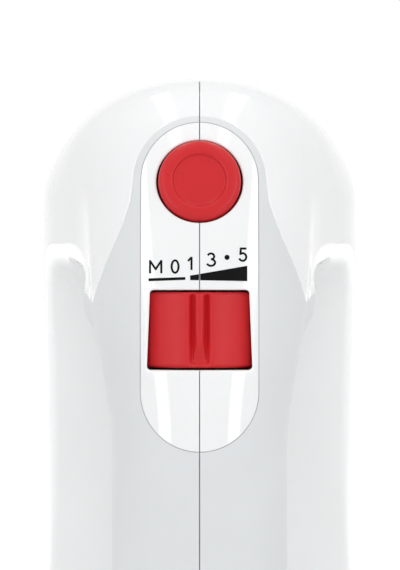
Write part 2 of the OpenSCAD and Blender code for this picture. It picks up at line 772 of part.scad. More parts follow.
// Centre line of one wire strip: [distance from the shaft, Y].
function strip_line(u) =
    let (
        y = CAGE_TOP + (beater_reach - 2 - CAGE_TOP) * u,
        rise = pow(ease(u / 0.62), 0.85),
        fall = sqrt(max(0, 1 - pow(max(0, (u - 0.62) / 0.38), 2.4)))
    )
    [3 + (cage_radius - 3.8) * min(rise, fall), y];
STRIP_STEPS = 22;
module strip() {
    centre = [for (i = [0:STRIP_STEPS]) strip_line(1 - pow(1 - i / STRIP_STEPS, 1.35))];
    normals = [
        for (i = [0:STRIP_STEPS])
            let (d = centre[min(i + 1, STRIP_STEPS)] - centre[max(i - 1, 0)])
            [d[1], -d[0]] / norm(d)
    ];
    translate([0, 0, -strip_width / 2]) linear_extrude(strip_width) polygon(concat(
        [for (i = [0:STRIP_STEPS]) centre[i] + 0.6 * normals[i]],
        [for (i = [STRIP_STEPS:-1:0]) centre[i] - 0.6 * normals[i]]
    ));
}
module beater_wires(side) {
    at_beater(side)
    difference() {
        union() {
            for (turn = [0:90:270]) rotate([0, turn, 0]) strip();
            y_cylinder(3.6, beater_reach - 4, beater_reach, 40);
        }
        y_cylinder(beater_shaft_radius + 1.6, CAGE_TOP - 5, CAGE_TOP + 6, 40);
        y_cylinder(beater_shaft_radius, CAGE_TOP + 5, CAGE_TOP + 8);
    }
}
module beater_shaft_left() { color("silver") beater_shaft(-1); }
module beater_shaft_right() { color("silver") beater_shaft(1); }
module beater_collar_left() { color("dimgray") beater_collar(-1); }
module beater_collar_right() { color("dimgray") beater_collar(1); }
module beater_wires_left() { color("silver") beater_wires(-1); }
module beater_wires_right() { color("silver") beater_wires(1); }

housing_left();
housing_right();
heel_pad();
housing_screws();
cord_inlet_bush();
terminal_block();
eject_button();
eject_fork();
eject_guide();
eject_spring();
speed_slider();
slider_axle();
switch_wiper();
switch_base();
switch_contacts();
speed_pcb();
pcb_parts();
triac_heatsink();
suppression_capacitor();
suppression_chokes();
motor_leads();
stator_core();
field_coils();
rotor_core();
rotor_windings();
commutator();
motor_shaft();
worm();
fan();
rear_bearing();
front_bearing();
rear_bracket();
front_bracket();
motor_bolts();
brush_plate();
brush_holders();
carbon_brushes();
brush_springs();
gearbox_base();
gearbox_cover();
gearbox_screws();
hub_bushes();
gear_left();
gear_right();
eject_pin_left();
eject_pin_right();
beater_shaft_left();
beater_shaft_right();
beater_collar_left();
beater_collar_right();
beater_wires_left();
beater_wires_right();
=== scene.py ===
import bmesh
import bpy
import json
import math
import numpy as np
from mathutils import Matrix, Vector
from mathutils.bvhtree import BVHTree


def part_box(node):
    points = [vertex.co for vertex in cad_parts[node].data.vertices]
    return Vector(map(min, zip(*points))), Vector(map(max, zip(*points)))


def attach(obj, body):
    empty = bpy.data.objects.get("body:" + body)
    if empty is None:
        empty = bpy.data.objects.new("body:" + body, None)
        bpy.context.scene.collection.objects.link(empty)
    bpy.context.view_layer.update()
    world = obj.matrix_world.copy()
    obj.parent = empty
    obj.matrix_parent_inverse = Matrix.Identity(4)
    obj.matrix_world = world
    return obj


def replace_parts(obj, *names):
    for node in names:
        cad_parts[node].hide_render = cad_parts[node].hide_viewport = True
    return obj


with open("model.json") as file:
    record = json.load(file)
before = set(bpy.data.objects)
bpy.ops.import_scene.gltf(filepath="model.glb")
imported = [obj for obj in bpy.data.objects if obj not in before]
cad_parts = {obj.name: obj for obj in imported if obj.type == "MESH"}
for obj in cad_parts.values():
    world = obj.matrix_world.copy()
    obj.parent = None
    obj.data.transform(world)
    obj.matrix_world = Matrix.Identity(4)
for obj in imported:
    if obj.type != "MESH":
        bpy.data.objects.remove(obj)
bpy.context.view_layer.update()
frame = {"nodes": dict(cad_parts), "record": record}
# Sizes and places are in millimetres. Pieces are scaled to metres as they are finished.
MM = 0.001

# ---------------------------------------------------------------- casing shape
NOSE = 198.6
UNDERSIDE = 38.0
GRIP_TOP = -103.5
LOOP_TOP = -67.5
LOOP_BOTTOM = -35.0
BODY_HALF_WIDTH = 42.5
GRIP_HALF_WIDTH = 21.4
SHOULDER_FLARE = 5.5
WALL = 2.4
# The casing's side view: outer point (z, y), finger loop's point (z, y), rounding radius at each.
STATIONS = np.array([
    (60, GRIP_TOP, 60, LOOP_TOP, 18, 15),
    (100, GRIP_TOP - 0.5, 100, LOOP_TOP, 18, 15),
    (135, GRIP_TOP, 127, LOOP_TOP, 16, 20),
    (168, -100.8, 141, -65, 9, 24),
    (NOSE - 5, -91, 145, -58, 8, 30),
    (NOSE + 3, -61, 146, -51, 10, 34),
    (NOSE - 0.5, -20, 145, -44, 14, 36),
    (NOSE - 6, 16, 141, -37, 24, 31),
    (180, UNDERSIDE + 1, 127, LOOP_BOTTOM, 30, 28),
    (140, UNDERSIDE, 108, LOOP_BOTTOM, 32, 28),
    (95, UNDERSIDE, 85, LOOP_BOTTOM, 32, 28),
    (45, UNDERSIDE - 1.5, 55, LOOP_BOTTOM, 32, 28),
    (4, UNDERSIDE - 7, 36, -36, 30, 26),
    (-13, 10, 26, -42, 26, 24),
    (-14, -30, 24, -50, 22, 20),
    (-13, -76, 25, -59, 20, 17),
    (10, GRIP_TOP, 36, -67, 18, 16),
], float)
ROUNDING_POWER = 2.2
HEEL_EDGE = 3.0
HEEL_LEVEL = 0.6
COLUMNS = len(STATIONS) * 36
ROWS = 100
INNER_ROWS = 22
SEAM = 0.07
CASING_CREASE = 38

# Openings and finish zones on the grip's top. Fields are only read above TOP_FACE, and are FAR elsewhere.
TOP_FACE, FAR = -80, 50.0
BUTTON_Y, BUTTON_Z, BUTTON_LEAN = -97.5, 171.8, math.radians(12)
BUTTON_HOLE = 10.45
WINDOW_LOW, WINDOW_HIGH = 126.5, 145.6
WINDOW_HALF_LOW, WINDOW_HALF_HIGH = 12.6, 11.9
WINDOW_CORNER = 0.9
PANEL_RADIUS = 14.2
PANEL_LOW, PANEL_HIGH = 107.0 + PANEL_RADIUS, 186.3 - PANEL_RADIUS
PANEL_LINE = 0.11
ARCH_RADIUS, ARCH_Z = 16.1, 171.8
ARCH_SIDE_Z = (142.5, 147.5, 152.3, 157, 162, 167, ARCH_Z)
ARCH_SIDE_X = (26.3, 24.5, 22.6, 20.5, 18.4, 16.7, ARCH_RADIUS)
# The matte grip's edge on the flanks: its front edge over Y, and where its slanted rear edge starts.
GRIP_FRONT_Y, GRIP_FRONT_Z = (TOP_FACE, -73, -60), (ARCH_SIDE_Z[0], 144.5, 146.0)
GRIP_REAR_Y, GRIP_REAR_Z = -60, 26
GRIP_END = -52

# Screw posts as (z, y), and the openings of the hubs, the cord and the vents.
SCREW_POSTS = ((11, 16.5), (10, -62), (112, -76), (182, 13.5), (186, -36))
SCREW_HOLE, HEAD_SEAT = 3.2, 8.0
GEAR_X, GEAR_Z, HUB_RADIUS = 17.5, 157.0, 7.0
CORD_Y, CORD_Z, CORD_TURN = -96.5, 8.5, math.radians(55)
CORD_HOLE, CORD_SEAT = 5.1, 6.75
FLANK_VENTS, UNDERSIDE_VENTS = 7, 4
VENT_RADIUS, VENT_X, VENT_Z = 1.1, 24, 30


def spline(t, field):
    """A closed cubic B-spline through one column of the stations."""
    n = len(STATIONS)
    i = np.floor(t).astype(int)
    f = t - i
    p = [STATIONS[(i + k) % n, field] for k in (-1, 0, 1, 2)]
    return (
        (1 - f) ** 3 * p[0]
        + (3 * f**3 - 6 * f * f + 4) * p[1]
        + (3 * f * f + 3 * f + 1 - 3 * f**3) * p[2]
        + f**3 * p[3]
    ) / 6


def ease(u):
    """A smooth step from 0 to 1."""
    u = np.clip(u, 0, 1)
    return u * u * (3 - 2 * u)


def rounding(u):
    """The profile of a rounded edge, from 0 at the edge to 1 where it is flat."""
    u = np.clip(u, 0, 1)
    return (1 - (1 - u) ** ROUNDING_POWER) ** (1 / ROUNDING_POWER)


def level_off(z, level):
    """Flattens everything under a level, so that the heel stands flat, with a soft turn into it."""
    soft = level + (z - level + HEEL_EDGE) ** 2 / (4 * HEEL_EDGE)
    return np.where(z > level + HEEL_EDGE, z, np.where(z < level - HEEL_EDGE, level, soft))


def offset_curve(t, field, inset):
    """A side view curve moved across itself by inset."""
    z, y = spline(t, field), spline(t, field + 1)
    dz = spline(t + 0.01, field) - spline(t - 0.01 + len(STATIONS), field)
    dy = spline(t + 0.01, field + 1) - spline(t - 0.01 + len(STATIONS), field + 1)
    length = np.hypot(dz, dy)
    return z - inset * dy / length, y + inset * dz / length


def half_width(z, y):
    """Half the casing's width. It grows from grip to body, past a knuckle and a hollow at the loop."""
    grip = GRIP_HALF_WIDTH + SHOULDER_FLARE * ease((z - 106) / 44)
    body = BODY_HALF_WIDTH - 12 * (1 - ease((z + 12) / 70))
    nose = ease((z - 165) / 30)
    start = -72 - 18 * ease((z - 110) / 50) - 14 * nose
    end = -14 - 18 * nose
    knuckle = 4.0 * np.exp(-(((z - 138) / 5.8) ** 2) - ((y + 68.5) / 6) ** 2)
    hollow = 4.2 * np.exp(-(((z - 148.5) / 4.5) ** 2) - ((y + 53) / 12) ** 2)
    return grip + (body - grip) * ease((y - start) / (end - start)) + knuckle - hollow


def skin_points(t, s, inset):
    """Points of the casing's right half, by inset under its skin, as rows of (x, y, z)."""
    oz, oy = offset_curve(t, 0, inset)
    lz, ly = offset_curve(t, 2, -inset)
    across = np.hypot(oz - lz, oy - ly)
    z, y = lz + s * (oz - lz), ly + s * (oy - ly)
    x = (half_width(z, y) - inset) * rounding(s * across / (spline(t, 4) - inset))
    x *= rounding((1 - s) * across / (spline(t, 5) - inset))
    return np.stack([x, y, level_off(z, inset + HEEL_LEVEL)], -1)


def even_share(rows):
    """Shares from the loop to the outline, crowded at both ends so that the rows lie evenly across X."""
    w = np.linspace(0, 1, rows)
    share = 0.5 * (2 * np.minimum(w, 1 - w)) ** ROUNDING_POWER
    return np.where(w < 0.5, share, 1 - share)


# ---------------------------------------------------------------- fields on the skin
def panel_field(p):
    """Each field is a distance from its outline on the skin, below zero inside it."""
    along = np.clip(p[:, 2], PANEL_LOW, PANEL_HIGH)
    d = np.hypot(p[:, 0], p[:, 2] - along) - PANEL_RADIUS
    return np.where(p[:, 1] < TOP_FACE, d, FAR)


def grip_field(p):
    """Below zero on the matte grip, above it on the glossy nose and body."""
    x, y, z = np.abs(p[:, 0]), p[:, 1], p[:, 2]
    side = x - np.interp(z, ARCH_SIDE_Z, ARCH_SIDE_X)
    arch = np.where(z > ARCH_Z, np.hypot(x, z - ARCH_Z) - ARCH_RADIUS, side)
    front = z - np.interp(y, GRIP_FRONT_Y, GRIP_FRONT_Z)
    rear = (y - GRIP_REAR_Y) * 0.66 - (z - GRIP_REAR_Z) * 0.75
    flank = np.maximum(front, rear)
    blend = np.where((z > ARCH_SIDE_Z[0]) & (y < TOP_FACE), arch, flank)
    return np.where(y < GRIP_END, blend, FAR)


def window_field(p):
    share = (p[:, 2] - WINDOW_LOW) / (WINDOW_HIGH - WINDOW_LOW)
    half_x = WINDOW_HALF_LOW + (WINDOW_HALF_HIGH - WINDOW_HALF_LOW) * np.clip(share, 0, 1)
    mid, half_z = (WINDOW_LOW + WINDOW_HIGH) / 2, (WINDOW_HIGH - WINDOW_LOW) / 2
    qx = np.abs(p[:, 0]) - half_x + WINDOW_CORNER
    qz = np.abs(p[:, 2] - mid) - half_z + WINDOW_CORNER
    outside = np.hypot(np.maximum(qx, 0), np.maximum(qz, 0))
    d = outside + np.minimum(np.maximum(qx, qz), 0) - WINDOW_CORNER
    return np.where(p[:, 1] < TOP_FACE, d, FAR)


def button_field(p):
    dy, dz = p[:, 1] - BUTTON_Y, p[:, 2] - BUTTON_Z
    along = -dy * math.cos(BUTTON_LEAN) + dz * math.sin(BUTTON_LEAN)
    d = np.sqrt(np.maximum(p[:, 0] ** 2 + dy**2 + dz**2 - along**2, 0)) - BUTTON_HOLE
    return np.where(p[:, 1] < TOP_FACE, d, FAR)


def seam_field(p):
    return p[:, 0] - SEAM


def lip(radius):
    """How far a rounded edge of that radius has dropped at a distance from it."""
    return lambda d: radius - np.sqrt(np.maximum(radius**2 - (radius - np.clip(d, 0, radius)) ** 2, 0))


def groove(half, depth):
    """The depth of a V groove of that half width at a distance from its middle."""
    return lambda d: depth * np.clip(1 - np.abs(d) / half, 0, 1)


# Each feature: its field, the levels that get an edge line of their own, and how deep it presses the skin.
FEATURES = [
    (panel_field, (-0.3, -0.12, 0, 0.12, 0.3), groove(0.12, 0.14)),
    (grip_field, (-0.12, 0, 0.12), groove(0.12, 0.1)),
    (window_field, (0.0, 0.12, 0.28, 0.5), lip(0.5)),
    (button_field, (0.0, 0.12, 0.28, 0.5), lip(0.5)),
    (seam_field, (0.06, 0.14, 0.28), lip(0.22)),
]


# ---------------------------------------------------------------- mesh helpers
def new_object(name, mesh, body, slot, *materials):
    obj = bpy.data.objects.new(name, mesh)
    bpy.context.scene.collection.objects.link(obj)
    for m in materials:
        mesh.materials.append(m)
    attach(obj, body)
    return obj


def mesh_from(name, points, faces):
    mesh = bpy.data.meshes.new(name)
    mesh.from_pydata([tuple(p) for p in points], [], faces)
    mesh.validate()
    mesh.update()
    return mesh


def shade(mesh, angle=40):
    for p in mesh.polygons:
        p.use_smooth = True
    mesh.set_sharp_from_angle(angle=math.radians(angle))


def loft(rings, closed=True, caps=True):
    """Points and faces of a surface over rings of equal length; each ring is an array of points."""
    n, m = len(rings), len(rings[0])
    points = [tuple(p) for ring in rings for p in ring]
    faces = []
    for i in range(n - 1):
        for j in range(m if closed else m - 1):
            k = (j + 1) % m
            faces.append((i * m + j, i * m + k, (i + 1) * m + k, (i + 1) * m + j))
    if caps:
        faces.append(tuple(range(m - 1, -1, -1)))
        faces.append(tuple((n - 1) * m + j for j in range(m)))
    return points, faces


def joined(*parts):
    points, faces = [], []
    for p, f in parts:
        base = len(points)
        points += list(p)
        faces += [tuple(base + i for i in face) for face in f]
    return points, faces


# A lathe's profile stops this far from the axis, so that its end caps have an area.
AXIS = 0.002


def lathe(profile, segments=64):
    """Revolves (radius, height) pairs about Z, with a cap at each end."""
    rings = []
    for r, h in profile:
        a = np.linspace(0, 2 * math.pi, segments, endpoint=False)
        rings.append(np.stack([r * np.cos(a), r * np.sin(a), np.full(segments, h)], -1))
    return loft(rings)


def ring_ends(segments, count):
    """Closes a lathe whose profile starts and ends off the axis, by joining its last ring to its first."""
    last = (count - 1) * segments
    return [(last + j, last + (j + 1) % segments, (j + 1) % segments, j) for j in range(segments)]


def tube(profile, segments=64):
    """A lathe whose profile is a closed loop off the axis."""
    points, faces = lathe(profile, segments)
    return points, faces[:-2] + ring_ends(segments, len(profile))


def turned(part, matrix):
    return [tuple(matrix @ Vector(p)) for p in part[0]], part[1]


def fix_normals(mesh):
    bm = bmesh.new()
    bm.from_mesh(mesh)
    bmesh.ops.remove_doubles(bm, verts=bm.verts, dist=1e-7)
    bmesh.ops.recalc_face_normals(bm, faces=bm.faces)
    bm.to_mesh(mesh)
    bm.free()


# ---------------------------------------------------------------- casing skin
def split_at(bm, outer, field, level):
    """Adds an edge line to the outer skin where the field has that level."""
    bm.verts.index_update()
    co = np.array([v.co[:] for v in bm.verts])
    f = field(co) - level
    f[np.array([v[outer] == 0 for v in bm.verts])] = 1e3
    f[np.abs(f) < 1e-4] = 0
    crossed = []
    for e in bm.edges:
        a, b = f[e.verts[0].index], f[e.verts[1].index]
        if a * b < 0 and abs(a) < 20 and abs(b) < 20:
            crossed.append((e, e.verts[0], a / (a - b)))
    on = {bm_v for bm_v, value in zip(bm.verts, f) if value == 0}
    fresh = []
    for e, v, share in crossed:
        made = bmesh.utils.edge_split(e, v, share)[1]
        made[outer] = 1
        fresh.append(made)
    on.update(fresh)
    for face in {face for v in fresh for face in v.link_faces}:
        ends = [v for v in face.verts if v in on]
        if len(ends) == 2 and not bm.edges.get(ends):
            bmesh.utils.face_split(face, ends[0], ends[1])


def casing_half():
    """The right half of the casing as a closed shell, with its finish zones as materials."""
    t = np.arange(COLUMNS) * len(STATIONS) / COLUMNS
    shares, inner_shares = even_share(ROWS), even_share(INNER_ROWS)
    outer_rings = [skin_points(t, np.full(COLUMNS, s), 0) for s in shares]
    inner_rings = [skin_points(t, np.full(COLUMNS, s), WALL) for s in inner_shares]
    for rings in (outer_rings, inner_rings):
        for ring in (rings[0], rings[-1]):
            ring[:, 0] = SEAM
    rings = outer_rings + inner_rings[::-1]
    bm = bmesh.new()
    outer = bm.verts.layers.int.new("outer")
    grid = []
    for k, ring in enumerate(rings):
        row = [bm.verts.new(p) for p in ring]
        for v in row:
            v[outer] = 1 if k < len(outer_rings) else 0
        grid.append(row)
    for i in range(len(grid)):
        low, high = grid[i], grid[(i + 1) % len(grid)]
        for j in range(COLUMNS):
            k = (j + 1) % COLUMNS
            bm.faces.new((low[j], low[k], high[k], high[j]))
    bmesh.ops.recalc_face_normals(bm, faces=bm.faces)
    for field, levels, _ in FEATURES:
        for level in levels:
            split_at(bm, outer, field, level)
    bm.normal_update()
    verts = [v for v in bm.verts if v[outer]]
    co = np.array([v.co[:] for v in verts])
    depth = np.zeros(len(verts))
    for field, _, press in FEATURES:
        depth = np.maximum(depth, press(field(co)))
    for v, d in zip(verts, depth):
        if d > 0:
            v.co -= v.normal * float(d)
    paint_zones(bm, outer)
    return bm


def paint_zones(bm, outer):
    """Material 0 is the gloss finish, 1 the matte grip, 2 the panel, 3 the dark line round it, whose grey is
    painted shade over the real groove there.
    """
    faces = [f for f in bm.faces if all(v[outer] for v in f.verts)]
    co = np.array([f.calc_center_median()[:] for f in faces])
    panel, grip = panel_field(co), grip_field(co)
    for face, p, g in zip(faces, panel, grip):
        # The strip over the panel's groove takes the grey of painted shade.
        if abs(p) < PANEL_LINE:
            face.material_index = 3
        elif p < 0:
            face.material_index = 2
        elif g < 0:
            face.material_index = 1


def cutter(name, parts):
    points, faces = joined(*parts)
    mesh = mesh_from(name, points, faces)
    fix_normals(mesh)
    obj = bpy.data.objects.new(name, mesh)
    bpy.context.scene.collection.objects.link(obj)
    return obj


def rod(radius, start, end, segments=48):
    """A plain rod between two points."""
    start, end = Vector(start), Vector(end)
    turn = (end - start).to_track_quat("Z", "Y").to_matrix().to_4x4()
    length = (end - start).length
    return turned(lathe([(radius, 0), (radius, length)], segments), Matrix.Translation(start) @ turn)


def prism(outline, low, high):
    """A prism along Y over an outline of (x, z) points."""
    rings = [[(x, y, z) for x, z in outline] for y in (low, high)]
    return loft(rings)


def rounded_outline(half_low, half_high, low, high, corner, steps=6):
    points = []
    corners = ((half_high, high, 0), (-half_high, high, 90), (-half_low, low, 180), (half_low, low, 270))
    for x, z, turn in corners:
        cx = x - math.copysign(corner, x)
        cz = z - corner if z == high else z + corner
        for i in range(steps + 1):
            a = math.radians(turn + 90 * i / steps)
            points.append((cx + corner * math.cos(a), cz + corner * math.sin(a)))
    return points


def slot_cut(a, b, radius, through):
    """A slot with round ends from a to b, cut along the vector through."""
    a, b, through = Vector(a), Vector(b), Vector(through)
    along = (b - a).normalized()
    side = through.normalized().cross(along)
    outline = []
    for centre, start in ((b, -90), (a, 90)):
        for i in range(9):
            angle = math.radians(start + 180 * i / 8)
            outline.append(centre + radius * (math.cos(angle) * along + math.sin(angle) * side))
    rings = [[tuple(p) for p in outline], [tuple(p + through) for p in outline]]
    return loft(rings)


def shared_cuts():
    """The openings that both halves have: button, roller window, hubs, cord, heel pad and vents."""
    out = Vector((0, -math.cos(BUTTON_LEAN), math.sin(BUTTON_LEAN)))
    button = Vector((0, BUTTON_Y, BUTTON_Z))
    cord_in = Vector((0, math.sin(CORD_TURN), math.cos(CORD_TURN)))
    cord = Vector((0, CORD_Y, CORD_Z))
    window = rounded_outline(WINDOW_HALF_LOW, WINDOW_HALF_HIGH, WINDOW_LOW, WINDOW_HIGH, WINDOW_CORNER)
    parts = [
        rod(BUTTON_HOLE, button - out * 9, button + out * 20, 128),
        prism(window, -125, -95),
        rod(HUB_RADIUS + 0.8, (GEAR_X, 25, GEAR_Z), (GEAR_X, 60, GEAR_Z), 64),
        rod(CORD_HOLE, cord - cord_in * 2, cord + cord_in * 12, 48),
        rod(CORD_SEAT, cord - cord_in * 10, cord - cord_in * 0.35, 48),
    ]
    low, high = [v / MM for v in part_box("heel_pad")]
    pocket = [(-30, -1), (high.x + 0.1, -1), (high.x + 0.1, 1.85), (-30, 1.85)]
    parts.append(prism(pocket, low.y - 0.1, high.y + 0.1))
    for i in range(FLANK_VENTS):
        z = VENT_Z + 6 * i
        parts.append(slot_cut((VENT_X, -2, z), (VENT_X, 16 + i, z), VENT_RADIUS, (36, 0, 0)))
    for i in range(UNDERSIDE_VENTS):
        z = VENT_Z + 7 * i
        parts.append(slot_cut((8, 26, z), (VENT_X, 26, z), VENT_RADIUS, (0, 34, 0)))
    return parts


def screw_cuts():
    """The screw heads' wells, which only the left half has. It is cut before it is mirrored."""
    return [rod(SCREW_HOLE, (HEAD_SEAT, y, z), (60, y, z), 40) for z, y in SCREW_POSTS]


def cut_piece(name, obj, cuts, materials):
    """The mesh that is left of an object once the openings are cut out of it."""
    tool = cutter(name + "_cuts", cuts)
    tool.data.materials.append(materials[0])
    for m in materials:
        obj.data.materials.append(m)
    cut = obj.modifiers.new("cut", "BOOLEAN")
    cut.operation, cut.solver, cut.object = "DIFFERENCE", "EXACT", tool
    cut.use_self = True
    bpy.context.view_layer.update()
    graph = bpy.context.evaluated_depsgraph_get()
    result = bpy.data.meshes.new_from_object(obj.evaluated_get(graph))
    bpy.data.objects.remove(obj)
    bpy.data.objects.remove(tool)
    return result


def casing_piece(name, mirrored, node, materials):
    bm = casing_half()
    mesh = bpy.data.meshes.new(name + "_form")
    bm.to_mesh(mesh)
    bm.free()
    obj = bpy.data.objects.new(name + "_form", mesh)
    bpy.context.scene.collection.objects.link(obj)
    result = cut_piece(name, obj, shared_cuts() + (screw_cuts() if mirrored else []), materials)
    if mirrored:
        result.transform(Matrix.Scale(-1, 4, (1, 0, 0)))
        result.flip_normals()
    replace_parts(finish_piece(name, result), node)


def finish_piece(name, mesh):
    mesh.transform(Matrix.Scale(MM, 4))
    shade(mesh, CASING_CREASE)
    mesh.name = name
    return new_object(name, mesh, "casing", "casing")


def tongue_piece(material):
    """The rib along the joint that keeps light out between the two halves; its grey is painted shade that
    darkens the gap.
    """
    t = np.arange(0, COLUMNS, 2) * len(STATIONS) / COLUMNS
    half_thick = 0.7
    parts = []
    for field, sign in ((0, 1), (2, -1)):
        (z0, y0), (z1, y1) = [offset_curve(t, field, sign * inset) for inset in (0.9, 1.9)]
        corners = [(z0, y0, -1), (z1, y1, -1), (z1, y1, 1), (z0, y0, 1)]
        level = [(level_off(z, 1.5 + HEEL_LEVEL), y, half_thick * x) for z, y, x in corners]
        rings = [[(x, y[i], z[i]) for z, y, x in level] for i in range(len(t))]
        points, faces = loft(rings, caps=False)
        parts.append((points, faces + ring_ends(4, len(t))))
    form = cutter("casing_tongue_form", parts)
    finish_piece("casing_tongue", cut_piece("casing_tongue", form, shared_cuts(), [material]))


# ---------------------------------------------------------------- skin lookup for marks and sockets
def top_surface():
    """The grip's top as a search tree, to lay marks on."""
    t = np.arange(COLUMNS) * len(STATIONS) / COLUMNS
    shares = 1 - 0.5 * (2 * np.linspace(0, 0.45, 70)) ** ROUNDING_POWER
    rings = [skin_points(t, np.full(COLUMNS, s), 0) for s in shares]
    rows = [r * np.array((-1, 1, 1)) for r in rings[:0:-1]] + rings
    points, faces = loft(rows, caps=False)
    return BVHTree.FromPolygons([tuple(p) for p in points], faces)


def on_top(tree, x, z, lift):
    """The point over (x, z) on the grip's top, lifted out along the surface's normal."""
    hit, normal, _, _ = tree.ray_cast(Vector((x, -140, z)), Vector((0, 1, 0)))
    if normal.y > 0:
        normal = -normal
    return hit + normal * lift


# ---------------------------------------------------------------- controls
def button_part():
    """The eject button about its own axis: a soft rim round a shallow thumb dish, over a hollow skirt."""
    profile = [
        (0, 0.6), (2.0, 0.61), (4.0, 0.64), (5.4, 0.68), (6.0, 0.74), (6.25, 0.9),
        (6.4, 1.12), (6.55, 1.3), (6.85, 1.42), (7.4, 1.47), (8.0, 1.43), (8.6, 1.33),
        (9.1, 1.14), (9.5, 0.84), (9.8, 0.44), (9.95, 0.0), (10.0, -0.6), (10.0, -6.7),
        (9.8, -7.0), (8.4, -7.0), (8.2, -6.7), (8.2, -2.2), (7.8, -1.8), (0, -1.8),
    ]
    smooth = []
    for (r0, h0), (r1, h1) in zip(profile, profile[1:]):
        for k in range(3):
            smooth.append((r0 + (r1 - r0) * k / 3, h0 + (h1 - h0) * k / 3))
    smooth.append(profile[-1])
    smooth = [(max(r, AXIS), h) for r, h in smooth]
    turn = Matrix.Rotation(math.pi / 2 - BUTTON_LEAN, 4, "X")
    place = Matrix.Translation((0, BUTTON_Y, BUTTON_Z)) @ turn
    return turned(lathe(smooth, 128), place)


# The roller, a sector of a drum, and the rib between two valleys that crosses its face.
DRUM_Y, DRUM_LOW, DRUM_HIGH, DRUM_RADIUS = -82.2, 127.0, 145.1, 20.0
DRUM_HALF_ANGLE = 66.0
DRUM_INSIDE, DRUM_BORE = 18.0, 2.06
WEB_RADIUS, WEB_THICK = 18.2, 1.6
VALLEY_AT, VALLEY_WIDTH, VALLEY_DEPTH, CREST = 1.75, 0.62, 1.25, 0.5


def drum_radius(angle, z):
    """Outer radius of the roller: a finger rib between two valleys, running out at the lower edge."""
    s = abs(math.radians(angle)) * DRUM_RADIUS
    share = (z - DRUM_LOW) / (DRUM_HIGH - DRUM_LOW)
    fade = float(ease(share / 0.1) * ease((1 - share) / 0.06))
    fill = float(1 - ease((share - 0.06) / 0.3))
    across = math.exp(-(((s - VALLEY_AT) / VALLEY_WIDTH) ** 2))
    inside = fill / (1 + math.exp((s - VALLEY_AT) / 0.12))
    narrow = 0.6 + 0.65 * float(ease(share / 0.8))
    crest = CREST * (1 - fill) * math.exp(-((s / narrow) ** 4))
    edge = 0.45 * (1 - min(1.0, min(share, 1 - share) / 0.045)) ** 2
    return DRUM_RADIUS - VALLEY_DEPTH * fade * max(across, inside) + crest * fade - edge


def drum_parts():
    """The roller's face, the webs at its two ends and its hub."""
    angles = np.linspace(-DRUM_HALF_ANGLE, DRUM_HALF_ANGLE, 397)
    heights = DRUM_LOW + (DRUM_HIGH - DRUM_LOW) * (0.5 - 0.5 * np.cos(np.linspace(0, math.pi, 49)))
    rings = []
    for angle in angles:
        a = math.radians(angle)
        column = [(drum_radius(angle, z), z) for z in heights] + [(DRUM_INSIDE, z) for z in heights[::-1]]
        rings.append([(r * math.sin(a), DRUM_Y - r * math.cos(a), z) for r, z in column])
    shell = loft(rings)
    webs = []
    for low in (DRUM_LOW + 0.05, DRUM_HIGH - 1.65):
        sector = [(0.0, DRUM_Y)]
        for angle in np.linspace(-DRUM_HALF_ANGLE, DRUM_HALF_ANGLE, 67):
            a = math.radians(angle)
            sector.append((WEB_RADIUS * math.sin(a), DRUM_Y - WEB_RADIUS * math.cos(a)))
        webs.append(loft([[(x, y, z) for x, y in sector] for z in (low, low + WEB_THICK)]))
    low, high = 124.4, 147.4
    hub = [(DRUM_BORE, low), (3.8, low), (4.0, low + 0.2), (4.0, high - 0.2), (3.8, high), (DRUM_BORE, high)]
    return [shell, *webs, turned(tube(hub, 48), Matrix.Translation((0, DRUM_Y, 0)))]


# ---------------------------------------------------------------- printed scale
def bow(cx, cz, rx, rz, start, stop, count=18):
    """Points along part of an ellipse, with angles in degrees."""
    angles = np.radians(np.linspace(start, stop, count))
    return [(cx + rx * math.cos(a), cz + rz * math.sin(a)) for a in angles]


# Each mark: strokes in a unit box, centre (x, z), width and height.
SCALE_MARKS = (
    ([[(0, 0), (0, 1)], [(0, 1), (0.5, 0.3)], [(0.5, 0.3), (1, 1)], [(1, 1), (1, 0)]],
     -10.5, 151.15, 3.2, 3.35),
    ([bow(0.5, 0.5, 0.5, 0.5, 0, 360, 41)], -5.85, 151.2, 2.15, 3.45),
    ([[(0, 0.74), (0.9, 0.98)], [(1, 1), (1, 0)]], -2.3, 151.95, 1.25, 3.35),
    ([bow(0.42, 0.765, 0.44, 0.235, 150, -90) + bow(0.42, 0.265, 0.56, 0.265, 90, -150)],
     2.86, 152.85, 2.25, 3.45),
    ([[(0.92, 1), (0.16, 1)], [(0.16, 1), (0.1, 0.53)], bow(0.44, 0.31, 0.54, 0.31, 128, -150)],
     10.4, 154.05, 2.1, 3.45),
)
# The dot's centre and radius, the bar's line and width, and the wedge's corners on each side of the joint.
STROKE = 0.5
DOT = (6.55, 153.4, 0.62)
BAR = (((-12.0, 148.05), (-3.6, 148.35)), 0.68)
WEDGE = (
    ((-2.26, 149.05), (-2.26, 147.97), (-0.16, 147.93), (-0.16, 149.39)),
    ((0.16, 149.45), (0.16, 147.92), (11.4, 147.73), (11.4, 151.4)),
)
# Marks lie just over the skin, and neighbours at heights of their own, so that no two faces coincide.
PRINT_LIFT, PRINT_STEP = 0.03, 0.0015
MARK_CELL = 0.4


def stroke_shape(line, width):
    """Outline points and faces of a stroke of that width along a line of (x, z) points."""
    points, faces = [], []
    for i, p in enumerate(line):
        before, after = line[max(i - 1, 0)], line[min(i + 1, len(line) - 1)]
        dx, dz = after[0] - before[0], after[1] - before[1]
        length = math.hypot(dx, dz)
        across = (-dz / length * width / 2, dx / length * width / 2)
        over = 0.0 if 0 < i < len(line) - 1 else (width * 0.3 if i else -width * 0.3)
        x, z = p[0] + dx / length * over, p[1] + dz / length * over
        points += [(x + across[0], z + across[1]), (x - across[0], z - across[1])]
        if i:
            k = 2 * i
            faces.append((k - 2, k - 1, k + 1, k))
    return points, faces


